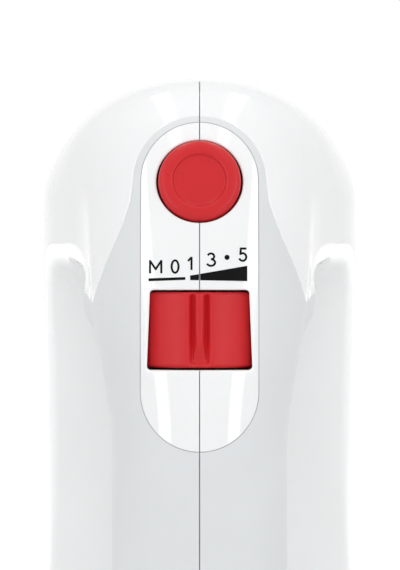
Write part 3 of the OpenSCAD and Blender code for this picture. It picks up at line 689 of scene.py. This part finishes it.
def flat_mark(shape, tree, lift):
    """Cuts a flat mark into small faces and lays it on the skin."""
    bm = bmesh.new()
    verts = [bm.verts.new((x, 0, z)) for x, z in shape[0]]
    for face in shape[1]:
        bm.faces.new([verts[i] for i in face])
    low = min(v.co.x for v in bm.verts)
    high = max(v.co.x for v in bm.verts)
    x = math.ceil(low / MARK_CELL) * MARK_CELL
    while x < high:
        geometry = bm.verts[:] + bm.edges[:] + bm.faces[:]
        bmesh.ops.bisect_plane(bm, geom=geometry, plane_co=(x, 0, 0), plane_no=(1, 0, 0), dist=1e-4)
        x += MARK_CELL
    for v in bm.verts:
        v.co = on_top(tree, v.co.x, v.co.z, lift)
    bm.verts.index_update()
    points = [tuple(v.co) for v in bm.verts]
    faces = [tuple(v.index for v in f.verts) for f in bm.faces]
    bm.free()
    return points, faces


def scale_parts(tree):
    parts = []
    for strokes, x, z, width, height in SCALE_MARKS:
        wide, tall = width - STROKE, height - STROKE
        for line in strokes:
            line = [(x + (u - 0.5) * wide, z + (v - 0.5) * tall) for u, v in line]
            parts.append(stroke_shape(line, STROKE))
    x, z, r = DOT
    parts.append((bow(x, z, r, r, 0, 345, 24), [tuple(range(24))]))
    parts.append(stroke_shape(list(BAR[0]), BAR[1]))
    parts += [(list(corners), [(0, 1, 2, 3)]) for corners in WEDGE]
    return [flat_mark(part, tree, PRINT_LIFT + PRINT_STEP * (i % 5)) for i, part in enumerate(parts)]


# ---------------------------------------------------------------- beaters
BEATER_REACH, CAGE_RADIUS, SHAFT_RADIUS = 150.0, 24.0, 3.0
CAGE_TOP = BEATER_REACH - 86
STRIP_WIDTH, STRIP_THICK = 4.4, 1.2
STRIP_BELLY = 0.62


def strip_line(u):
    """Radius and Y of a wire's middle line: out from the shaft to the belly, then round to the tip."""
    y = CAGE_TOP + (BEATER_REACH - 2 - CAGE_TOP) * u
    rise = float(ease(u / STRIP_BELLY)) ** 0.85
    fall = math.sqrt(max(0.0, 1 - max(0.0, (u - STRIP_BELLY) / (1 - STRIP_BELLY)) ** 2.4))
    return np.array((SHAFT_RADIUS + (CAGE_RADIUS - 3.8) * min(rise, fall), y))


def strip_section(samples=5):
    """A flat wire's outline with round edges: (across, thick) pairs."""
    half_w, half_t = STRIP_WIDTH / 2, STRIP_THICK / 2
    points = []
    for centre, start in ((half_w - half_t, -90), (half_t - half_w, 90)):
        for i in range(samples + 1):
            a = math.radians(start + 180 * i / samples)
            points.append((centre + half_t * math.cos(a), half_t * math.sin(a)))
    return points


def strip_part(turn, steps=72):
    centre = [strip_line(1 - (1 - i / steps) ** 1.35) for i in range(steps + 1)]
    rings = []
    c, s = math.cos(turn), math.sin(turn)
    for i, p in enumerate(centre):
        d = centre[min(i + 1, steps)] - centre[max(i - 1, 0)]
        n = np.array((d[1], -d[0])) / np.hypot(*d)
        ring = []
        for across, thick in strip_section():
            r, y = p + thick * n
            ring.append((r * c - across * s, y, r * s + across * c))
        rings.append(ring)
    return loft(rings)


def beater_parts(side):
    """A beater's shaft, collar and wires about its own axis along Y."""
    phase = 0 if side > 0 else -math.pi / 4
    wires = [strip_part(phase + k * math.pi / 2) for k in range(4)]
    tip = [
        (AXIS, 146), (2.6, 146), (3.4, 146.6), (3.6, 147.4),
        (3.6, 148.6), (3.0, 149.6), (1.6, 150), (AXIS, 150),
    ]
    shaft = [
        (AXIS, 2.2), (2.3, 2.2), (3.0, 3.2), (3.0, 12.9), (2.75, 13.2), (2.5, 14), (2.75, 14.8), (3.0, 15.1),
        (3.0, 39.9), (3.0, 43.1), (3.0, 58.6), (3.6, 59.2), (4.4, 60), (4.6, 60.6), (4.6, 69.0), (4.3, 69.8),
        (3.2, 70), (3.0, 70.3), (3.0, 71.7), (2.7, 72), (AXIS, 72),
    ]
    collar = [
        (3.02, 40.2), (7.4, 40), (8.1, 40.4), (8.4, 41.1), (8.4, 42), (8.1, 42.7), (7.4, 43), (3.02, 42.8),
    ]
    to_y = Matrix.Rotation(-math.pi / 2, 4, "X")
    return {
        "wires": wires + [turned(lathe(tip, 48), to_y)],
        "shaft": [turned(lathe(shaft, 64), to_y)],
        "collar": [turned(tube(collar, 72), to_y)],
    }


def bush_part():
    """The cord inlet's rubber bush about its own axis, pointing into the casing."""
    profile = [
        (3.4, -2.0), (3.8, -2.4), (6.1, -2.4), (6.6, -1.9), (6.6, -0.9), (6.1, -0.4), (5.0, -0.4), (5.0, 4.6),
        (6.0, 4.6), (6.2, 4.9), (6.2, 5.9), (6.0, 6.2), (5.0, 6.2), (5.0, 11.6), (4.6, 12), (3.4, 12),
    ]
    return tube(profile, 64)


# ---------------------------------------------------------------- materials
class Nodes:
    """Small helper to build one material's node tree."""

    def __init__(self, name):
        self.material = bpy.data.materials.new(name)
        self.material.use_nodes = True
        self.tree = self.material.node_tree
        self.shader = self.tree.nodes["Principled BSDF"]
        self.place = self.add("ShaderNodeTexCoord").outputs["Object"]

    def add(self, kind, **values):
        node = self.tree.nodes.new(kind)
        for key, value in values.items():
            setattr(node, key, value)
        return node

    def link(self, source, target):
        self.tree.links.new(source, target)

    def stretched(self, scale):
        node = self.add("ShaderNodeMapping")
        node.inputs["Scale"].default_value = scale
        self.link(self.place, node.inputs["Vector"])
        return node.outputs["Vector"]

    def noise(self, scale, detail=3, roughness=0.55, vector=None):
        node = self.add("ShaderNodeTexNoise")
        node.inputs["Scale"].default_value = scale
        node.inputs["Detail"].default_value = detail
        node.inputs["Roughness"].default_value = roughness
        self.link(vector or self.place, node.inputs["Vector"])
        return node.outputs["Fac"]

    def bands(self, axis, scale, distortion=0.0):
        node = self.add("ShaderNodeTexWave", wave_type="BANDS", bands_direction=axis)
        node.inputs["Scale"].default_value = scale
        node.inputs["Distortion"].default_value = distortion
        node.inputs["Detail"].default_value = 1
        self.link(self.place, node.inputs["Vector"])
        return node.outputs["Fac"]

    def ranged(self, source, low, high, start=0.3, stop=0.7):
        node = self.add("ShaderNodeMapRange")
        for key, value in zip(("From Min", "From Max", "To Min", "To Max"), (start, stop, low, high)):
            node.inputs[key].default_value = value
        self.link(source, node.inputs["Value"])
        return node.outputs["Result"]

    def ramp(self, source, *stops):
        node = self.add("ShaderNodeValToRGB")
        elements = node.color_ramp.elements
        while len(elements) < len(stops):
            elements.new(0.5)
        for element, (position, colour) in zip(elements, stops):
            element.position = position
            element.color = (*colour, 1)
        self.link(source, node.inputs["Fac"])
        return node.outputs["Color"]

    def mixed(self, share, a, b):
        node = self.add("ShaderNodeMix", data_type="RGBA")
        self.link(share, node.inputs["Factor"])
        self.link(a, node.inputs["A"])
        self.link(b, node.inputs["B"])
        return node.outputs["Result"]

    def added(self, a, b, weight):
        node = self.add("ShaderNodeMath", operation="MULTIPLY_ADD")
        self.link(b, node.inputs[0])
        node.inputs[1].default_value = weight
        self.link(a, node.inputs[2])
        return node.outputs["Value"]

    def bump(self, height, distance):
        node = self.add("ShaderNodeBump")
        node.inputs["Distance"].default_value = distance
        self.link(height, node.inputs["Height"])
        self.link(node.outputs["Normal"], self.shader.inputs["Normal"])

    def colour(self, source):
        self.link(source, self.shader.inputs["Base Color"])

    def roughness(self, source):
        self.link(source, self.shader.inputs["Roughness"])

    def set(self, **values):
        names = {
            "metallic": "Metallic", "coat": "Coat Weight", "coat_rough": "Coat Roughness",
            "specular": "Specular IOR Level", "sheen": "Sheen Weight",
            "subsurface": "Subsurface Weight", "subsurface_scale": "Subsurface Scale",
        }
        for key, value in values.items():
            self.shader.inputs[names[key]].default_value = value


def tinted(colour, factor):
    return tuple(min(1.0, c * factor) for c in colour)


def plastic(name, colour, rough, texture=(2600, 0.00001), vary=0.03, painted_highlight_strength=0.0, **shader):
    """Moulded plastic: cloudy colour, a moulded-in grain of the given scale and depth, and convex edges
    lightened as a painted highlight.
    """
    n = Nodes(name)
    cloud = n.noise(45, 4)
    colours = n.ramp(cloud, (0.3, tinted(colour, 1 - vary)), (0.7, tinted(colour, 1 + vary)))
    # Painted highlight: convex edges, found by pointiness, are lightened towards a paler tint of the colour.
    if painted_highlight_strength:
        geometry = n.add("ShaderNodeNewGeometry")
        edge = n.ranged(geometry.outputs["Pointiness"], 0, painted_highlight_strength, 0.52, 0.6)
        painted_highlight_colours = n.ramp(cloud, (0.0, tinted(colour, 1.35)), (1.0, tinted(colour, 1.5)))
        colours = n.mixed(edge, colours, painted_highlight_colours)
    n.colour(colours)
    grain_scale, grain_depth = texture
    grain = n.noise(grain_scale, 2)
    n.roughness(n.ranged(n.added(n.noise(140, 3), grain, 0.25), rough * 0.9, rough * 1.12, 0.4, 0.85))
    n.bump(grain, grain_depth)
    n.set(**shader)
    return n.material


def metal(name, colour, rough, stretch=(1, 1, 12), scale=900, depth=0.000004, vary=0.06, **shader):
    """Metal with fine drawn or turned lines, a cloudy tone and edges slightly brightened as a painted
    highlight.
    """
    n = Nodes(name)
    lines = n.noise(scale, 3, 0.6, n.stretched(stretch))
    cloud = n.noise(70, 4)
    tone = n.ramp(cloud, (0.3, tinted(colour, 1 - vary)), (0.7, tinted(colour, 1 + vary)))
    # Painted highlight: convex edges, found by pointiness, are brightened towards a paler tint.
    edge = n.ranged(n.add("ShaderNodeNewGeometry").outputs["Pointiness"], 0, 0.6, 0.52, 0.62)
    painted_metal_highlight = n.ramp(cloud, (0.0, tinted(colour, 1.15)), (1.0, tinted(colour, 1.25)))
    n.colour(n.mixed(edge, tone, painted_metal_highlight))
    n.roughness(n.ranged(n.added(cloud, lines, 0.5), rough * 0.8, rough * 1.25, 0.5, 1.0))
    n.bump(lines, depth)
    n.set(metallic=1.0, **shader)
    return n.material


def wave_scale(pitch):
    """The scale at which a wave texture's bands lie about a pitch apart, in metres."""
    return 1 / (math.pi * pitch)


def wound(name, colour, rough, axis, pitch):
    """Enamelled wire laid in layers along an axis, with a pitch in metres. Its bands are darker between the
    turns, painted shade, and lighter on each turn, a painted highlight.
    """
    n = Nodes(name)
    wave = n.bands(axis, wave_scale(pitch), 0.35)
    # Painted shade in the troughs between turns and a painted highlight on their crests.
    n.colour(n.ramp(wave, (0.1, tinted(colour, 0.35)), (0.6, colour), (0.95, tinted(colour, 1.3))))
    n.roughness(n.ranged(n.noise(300), rough * 0.8, rough * 1.3))
    n.bump(wave, pitch * 0.35)
    n.set(metallic=0.6, coat=0.4)
    return n.material


def laminated(name, colour, rough):
    """A stack of varnished steel sheets, one every half millimetre along Z."""
    n = Nodes(name)
    wave = n.bands("Z", wave_scale(0.0005), 0.05)
    tone = n.added(wave, n.noise(120, 4), 0.5)
    n.colour(n.ramp(tone, (0.2, tinted(colour, 0.55)), (0.9, tinted(colour, 1.2))))
    n.roughness(n.ranged(n.noise(400), rough * 0.85, rough * 1.2))
    n.bump(wave, 0.00006)
    n.set(metallic=0.8)
    return n.material


def board(name):
    """Green laminate with a faint weave and copper tracks under the resist."""
    n = Nodes(name)
    weave = n.added(n.bands("X", 900, 0.3), n.bands("Z", 900, 0.3), 1.0)
    tracks = n.add("ShaderNodeTexVoronoi", feature="DISTANCE_TO_EDGE", distance="CHEBYCHEV")
    tracks.inputs["Scale"].default_value = 130
    n.link(n.stretched((1, 0.05, 1)), tracks.inputs["Vector"])
    line = n.ranged(tracks.outputs["Distance"], 1, 0, 0.03, 0.06)
    base = n.ramp(weave, (0.2, (0.012, 0.11, 0.045)), (0.9, (0.02, 0.16, 0.07)))
    track = n.ramp(weave, (0.2, (0.03, 0.24, 0.1)), (0.9, (0.045, 0.29, 0.13)))
    n.colour(n.mixed(line, base, track))
    n.roughness(n.ranged(n.noise(500), 0.25, 0.4))
    n.bump(line, 0.00003)
    return n.material


WHITE = (0.86, 0.87, 0.875)
GRIP_GREY = (0.71, 0.73, 0.74)
RED = (0.61, 0.013, 0.018)
STEEL = (0.55, 0.56, 0.58)


def make_materials():
    """Each plastic as name, colour, roughness, grain (scale, depth), colour variation and the strength of a
    painted edge highlight.
    """
    depth_of_white = {"subsurface": 0.06, "subsurface_scale": 0.002}
    return {
        "gloss": plastic("gloss_casing", WHITE, 0.12, (1500, 0.000002), 0.012,
                         coat=0.8, coat_rough=0.04, **depth_of_white),
        "panel": plastic("gloss_panel", tinted(WHITE, 1.02), 0.06, (1500, 0.0000015), 0.01,
                         coat=0.9, coat_rough=0.03, **depth_of_white),
        "grip": plastic("matte_grip", GRIP_GREY, 0.5, (3200, 0.00003), 0.018, specular=0.4),
        # The grey of the panel's outline and of the joint's rib is painted shade for the groove and the gap.
        "line": plastic("panel_groove_painted_shade", (0.5, 0.51, 0.52), 0.6, (2600, 0.00001), 0.1),
        "red": plastic("red_gloss", RED, 0.3, (2200, 0.000006), 0.05, specular=0.35),
        "red_roller": plastic("red_roller", RED, 0.34, (2200, 0.000009), 0.05, specular=0.35),
        "print": plastic("printed_ink", (0.006, 0.006, 0.0065), 0.5, (4000, 0.000006), 0.2,
                         specular=0.08),
        "chrome": metal("chrome_wire", (0.5, 0.51, 0.53), 0.16, (1, 1, 1), 500, 0.000002, 0.05),
        "steel": metal("bright_steel", STEEL, 0.26),
        "aluminium": metal("cast_aluminium", (0.6, 0.61, 0.62), 0.42, (1, 1, 1), 1400, 0.00002, 0.08),
        "brass": metal("rolled_brass", (0.72, 0.5, 0.2), 0.28, (1, 12, 1)),
        "copper": metal("copper_segments", (0.68, 0.34, 0.16), 0.24, (8, 8, 1)),
        "bronze": metal("sintered_bronze", (0.4, 0.26, 0.13), 0.55, (1, 1, 1), 3000, 0.00002, 0.12),
        "rubber": plastic("grey_rubber", (0.028, 0.028, 0.03), 0.72, (1800, 0.00003), 0.2, sheen=0.1),
        "dark": plastic("dark_plastic", (0.024, 0.024, 0.026), 0.42, (2400, 0.00001), 0.15, 0.5),
        "ivory": plastic("ivory_plastic", (0.66, 0.62, 0.5), 0.4, (2000, 0.00001), 0.05, 0.3),
        "nylon": plastic("white_nylon", (0.78, 0.77, 0.72), 0.38, (1800, 0.000008), 0.04, 0.2,
                         subsurface=0.15, subsurface_scale=0.002),
        "fan": plastic("grey_fan", (0.11, 0.115, 0.125), 0.45, (2000, 0.00001), 0.12, 0.4),
        "phenolic": plastic("phenolic_board", (0.16, 0.06, 0.022), 0.45, (900, 0.00001), 0.22, 0.3),
        "carbon": plastic("brush_carbon", (0.03, 0.03, 0.032), 0.55, (3200, 0.00002), 0.35, 0.4),
        "yellow": plastic("film_case", (0.68, 0.42, 0.04), 0.3, (1400, 0.000006), 0.06, 0.3),
        "epoxy": plastic("component_case", (0.02, 0.02, 0.024), 0.4, (2600, 0.000014), 0.2, 0.5),
        "insulation": plastic("lead_insulation", (0.03, 0.09, 0.28), 0.45, (1800, 0.000008), 0.1, 0.3),
        "winding": wound("copper_winding", (0.5, 0.17, 0.05), 0.3, "X", 0.0005),
        "choke": wound("choke_winding", (0.46, 0.18, 0.06), 0.32, "Y", 0.0006),
        "laminated": laminated("laminated_steel", (0.2, 0.21, 0.23), 0.38),
        "board": board("circuit_board"),
    }


SLOT_MATERIALS = {
    "casing": "gloss", "pad": "rubber", "steel": "steel", "chrome": "chrome", "dark_plastic": "dark",
    "ivory_plastic": "ivory", "red_plastic": "red", "brass": "brass", "circuit_board": "board",
    "dark_epoxy": "epoxy", "aluminium": "aluminium", "film_case": "yellow", "ferrite_winding": "choke",
    "lead_insulation": "insulation", "core_steel": "laminated", "copper_wire": "winding", "copper": "copper",
    "sintered_bronze": "bronze", "phenolic": "phenolic", "carbon": "carbon", "gear_nylon": "nylon",
    "fan_plastic": "fan",
}


def dress_cad_nodes(materials):
    """Gives every CAD node, most of which are out of sight inside the casing, the finish of its slot."""
    slots = {entry["node"]: entry["material_slot"] for entry in frame["record"]["subparts"]}
    for name, obj in frame["nodes"].items():
        choice = materials[SLOT_MATERIALS[slots[name]]]
        if not obj.material_slots:
            obj.data.materials.append(choice)
        for s in obj.material_slots:
            s.material = choice


# ---------------------------------------------------------------- assembly
def simple_piece(name, parts, body, slot, material, nodes, angle=40):
    points, faces = joined(*parts)
    mesh = mesh_from(name, [(x * MM, y * MM, z * MM) for x, y, z in points], faces)
    fix_normals(mesh)
    shade(mesh, angle)
    piece = new_object(name, mesh, body, slot, material)
    if nodes:
        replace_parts(piece, *nodes)


def build():
    m = make_materials()
    dress_cad_nodes(m)
    zones = [m["gloss"], m["grip"], m["panel"], m["line"]]
    casing_piece("casing_right", False, "housing_right", zones)
    casing_piece("casing_left", True, "housing_left", zones)
    tongue_piece(m["line"])
    red, roller, ink = m["red"], m["red_roller"], m["print"]
    simple_piece("eject_button_cap", [button_part()], "eject", "red_plastic", red, ["eject_button"], 50)
    simple_piece("speed_roller", drum_parts(), "selector", "red_plastic", roller, ["speed_slider"], 32)
    simple_piece("speed_scale", scale_parts(top_surface()), "casing", "dark_plastic", ink, [])
    for side, word in ((1, "right"), (-1, "left")):
        parts = beater_parts(side)
        shift = Matrix.Translation((side * GEAR_X, 0, GEAR_Z))
        for kind, slot in (("wires", "chrome"), ("shaft", "chrome"), ("collar", "dark_plastic")):
            moved = [turned(p, shift) for p in parts[kind]]
            node = f"beater_{kind}_{word}"
            simple_piece(node + "_form", moved, f"{word}_beater", slot, m[SLOT_MATERIALS[slot]], [node])
    inward = Matrix.Translation((0, CORD_Y, CORD_Z)) @ Matrix.Rotation(-CORD_TURN, 4, "X")
    bush = [turned(bush_part(), inward)]
    simple_piece("cord_bush", bush, "casing", "dark_plastic", m["rubber"], ["cord_inlet_bush"])


# ---------------------------------------------------------------- light, floor and camera
# The camera looks straight at the grip's top. These are in metres, and the view's height is at that top.
CAMERA_DISTANCE, CAMERA_X, CAMERA_Z = 0.6, 0.0001, 0.1468
VIEW_HEIGHT = 0.135714
SENSOR = 36
SURROUND, BACKDROP = 0.86, 1.0
FLOOR_REACH = 6.0


def add_light(name, position, target, size, power):
    data = bpy.data.lights.new(name, "AREA")
    data.shape = "RECTANGLE"
    data.size, data.size_y = size
    data.energy = power
    obj = bpy.data.objects.new(name, data)
    bpy.context.scene.collection.objects.link(obj)
    obj.location = position
    obj.rotation_euler = (Vector(target) - Vector(position)).to_track_quat("-Z", "Z").to_euler()


def studio():
    """Two tall strips beside the camera and two over the object. Positions are in metres."""
    centre = (0, -0.04, 0.12)
    for side, word in ((-1, "left"), (1, "right")):
        add_light("strip_" + word, (side * 0.70, -1.10, 0.2), centre, (0.25, 2.4), 3.3)
        add_light("overhead_" + word, (side * 0.34, -0.1, 1.3), centre, (0.18, 2.4), 2.1)
    studio_world()
    bpy.context.scene.view_settings.view_transform = "Standard"


def studio_world():
    """Soft pale surroundings with a white backdrop behind the object."""
    world = bpy.data.worlds.new("studio")
    world.use_nodes = True
    nodes, links = world.node_tree.nodes, world.node_tree.links
    place = nodes.new("ShaderNodeTexCoord")
    split = nodes.new("ShaderNodeSeparateXYZ")
    links.new(place.outputs["Generated"], split.inputs["Vector"])
    backdrop = nodes.new("ShaderNodeMapRange")
    backdrop.interpolation_type = "SMOOTHSTEP"
    for key, value in zip(("From Min", "From Max", "To Min", "To Max"), (0.86, 0.96, SURROUND, BACKDROP)):
        backdrop.inputs[key].default_value = value
    links.new(split.outputs["Y"], backdrop.inputs["Value"])
    links.new(backdrop.outputs["Result"], nodes["Background"].inputs["Strength"])
    nodes["Background"].inputs["Color"].default_value = (1, 1, 1, 1)
    bpy.context.scene.world = world


def floor():
    """A pale floor that glows softly from behind the object outwards, so that it meets the backdrop."""
    n = Nodes("studio_floor")
    n.colour(n.ramp(n.noise(6, 3), (0.3, (0.8, 0.8, 0.8)), (0.7, (0.83, 0.83, 0.83))))
    n.roughness(n.ranged(n.noise(30), 0.5, 0.6))
    reach = n.add("ShaderNodeSeparateXYZ")
    n.link(n.place, reach.inputs["Vector"])
    n.shader.inputs["Emission Color"].default_value = (1, 1, 1, 1)
    n.link(n.ranged(reach.outputs["Y"], 0.0, 0.5, 0.3, 0.6), n.shader.inputs["Emission Strength"])
    corners = [(x * FLOOR_REACH, y * FLOOR_REACH, 0) for x, y in ((-1, -1), (1, -1), (1, 1), (-1, 1))]
    mesh = mesh_from("floor", corners, [(0, 1, 2, 3)])
    obj = bpy.data.objects.new("floor", mesh)
    bpy.context.scene.collection.objects.link(obj)
    mesh.materials.append(n.material)


def camera():
    data = bpy.data.cameras.new("camera")
    obj = bpy.data.objects.new("camera", data)
    bpy.context.scene.collection.objects.link(obj)
    data.sensor_width = SENSOR
    data.lens = SENSOR * CAMERA_DISTANCE / VIEW_HEIGHT
    obj.location = (CAMERA_X, GRIP_TOP * MM - CAMERA_DISTANCE, CAMERA_Z)
    obj.rotation_euler = (math.pi / 2, 0, 0)
    data.clip_start, data.clip_end = 0.05, 30
    bpy.context.scene.camera = obj


camera()
build()
floor()
studio()
